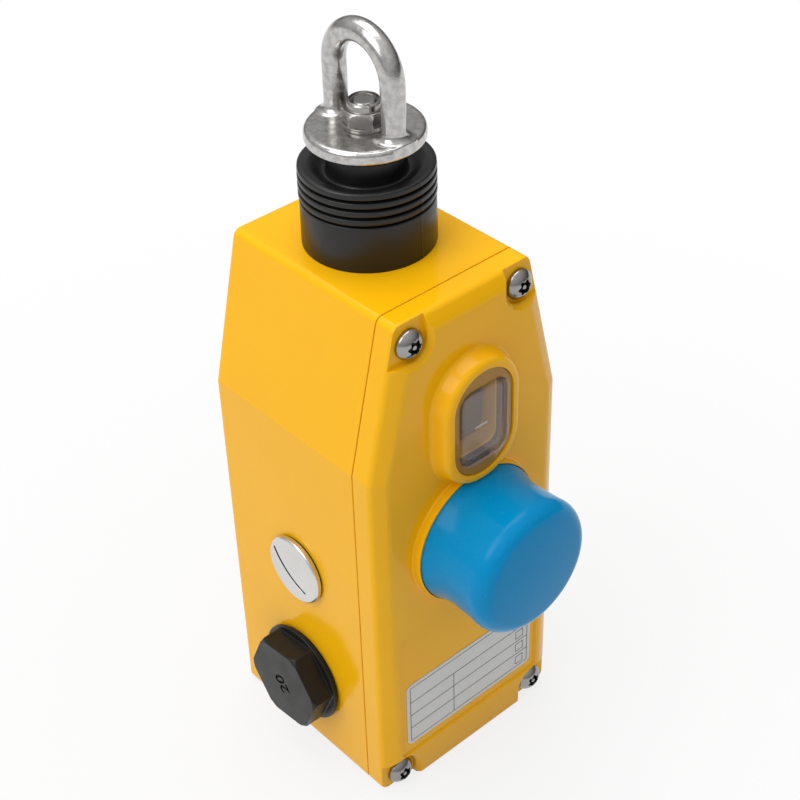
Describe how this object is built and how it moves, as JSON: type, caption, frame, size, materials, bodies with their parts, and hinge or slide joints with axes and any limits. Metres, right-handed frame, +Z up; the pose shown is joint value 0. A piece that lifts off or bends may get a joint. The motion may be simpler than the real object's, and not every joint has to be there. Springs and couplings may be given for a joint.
{
  "type": "rope pull switch",
  "caption": "Safety rope pull switch: tall tapered cast case with a ring eye on a rubber-booted pull shaft, a tension window and a round reset button on the lid.",
  "frame": {"origin": "on the pull axis, at the level of the housing's bottom face", "axes": "+Z up along the pull shaft, out of the rope eye; +Y out of the back mounting face, so the lid faces -Y; +X to the right as seen from the front"},
  "size_m": [0.0784, 0.0844, 0.2055],
  "materials": {
    "yellow_paint": "semi-gloss powder coat on die-cast metal",
    "seal_rubber": "matt black seal rubber",
    "boot_rubber": "satin moulded black rubber",
    "stainless": "bright stainless steel",
    "eye_steel": "blasted and tumbled stainless steel",
    "label_film": "satin label film, bare",
    "clear_lens": "clear moulded polycarbonate",
    "blue_cap": "satin blue moulded cap",
    "zinc_steel": "zinc-plated steel",
    "black_plastic": "fine-textured black polyamide",
    "bronze": "sintered bronze",
    "cream_plastic": "cream moulded plastic",
    "dark_plastic": "dark grey moulded plastic",
    "white_mark": "white inlay",
    "white_acetal": "natural white acetal",
    "red_plastic": "red moulded plastic",
    "brass_screw": "plated brass",
    "nickel": "satin nickel plate"
  },
  "bodies": {
    "case": {"housing": "yellow_paint", "lid": "yellow_paint", "lid_gasket": "seal_rubber", "lid_screws": "stainless", "label_plate": "label_film", "window_lens": "clear_lens", "lens_seal": "seal_rubber", "reset_bush": "black_plastic", "reset_spring": "zinc_steel", "boot": "boot_rubber", "shaft_bush": "bronze", "main_spring": "zinc_steel", "lower_guide": "zinc_steel", "contact_block_left": "dark_plastic", "contact_block_right": "dark_plastic", "terminal_screws": "brass_screw", "earth_screw": "brass_screw", "conduit_plug_left": "black_plastic", "conduit_plug_right": "black_plastic", "plug_seal_left": "seal_rubber", "plug_seal_right": "seal_rubber", "coin_plug": "nickel", "coin_seal": "seal_rubber", "indicator_mark": "white_mark"},
    "pull_rod": {"pull_shaft": "stainless", "rope_eye": "eye_steel", "eye_washer": "stainless", "eye_nut": "stainless", "spring_collar": "zinc_steel", "roll_pins": "stainless", "indicator_arm": "cream_plastic", "indicator_flag": "dark_plastic", "cam_sleeve": "white_acetal"},
    "reset_button": {"reset_cap": "blue_cap", "reset_stem": "stainless", "stem_clip": "stainless", "latch_fork": "zinc_steel"},
    "left_plunger": {"plunger_left": "red_plastic"},
    "right_plunger": {"plunger_right": "red_plastic"}
  },
  "joints": [
    {"name": "rope_pull", "type": "slide", "parent": "case", "child": "pull_rod", "axis": [0, 0, 1], "range_m": [0, 0.01], "stiffness_N_per_m": 6000, "deforming": ["boot", "main_spring"]},
    {"name": "reset_push", "type": "slide", "parent": "case", "child": "reset_button", "axis": [0, 1, 0], "range_m": [0, 0.004], "stiffness_N_per_m": 1200, "deforming": ["reset_spring"]},
    {"name": "plunger_left_slide", "type": "slide", "parent": "case", "child": "left_plunger", "axis": [-1, 0, 0], "range_m": [0, 0.002]},
    {"name": "plunger_right_slide", "type": "slide", "parent": "case", "child": "right_plunger", "axis": [1, 0, 0], "range_m": [0, 0.002]}
  ],
  "couplings": [
    {"joint": "plunger_left_slide", "follows": "rope_pull", "ratio": 0.2},
    {"joint": "plunger_right_slide", "follows": "rope_pull", "ratio": 0.2}
  ]
}
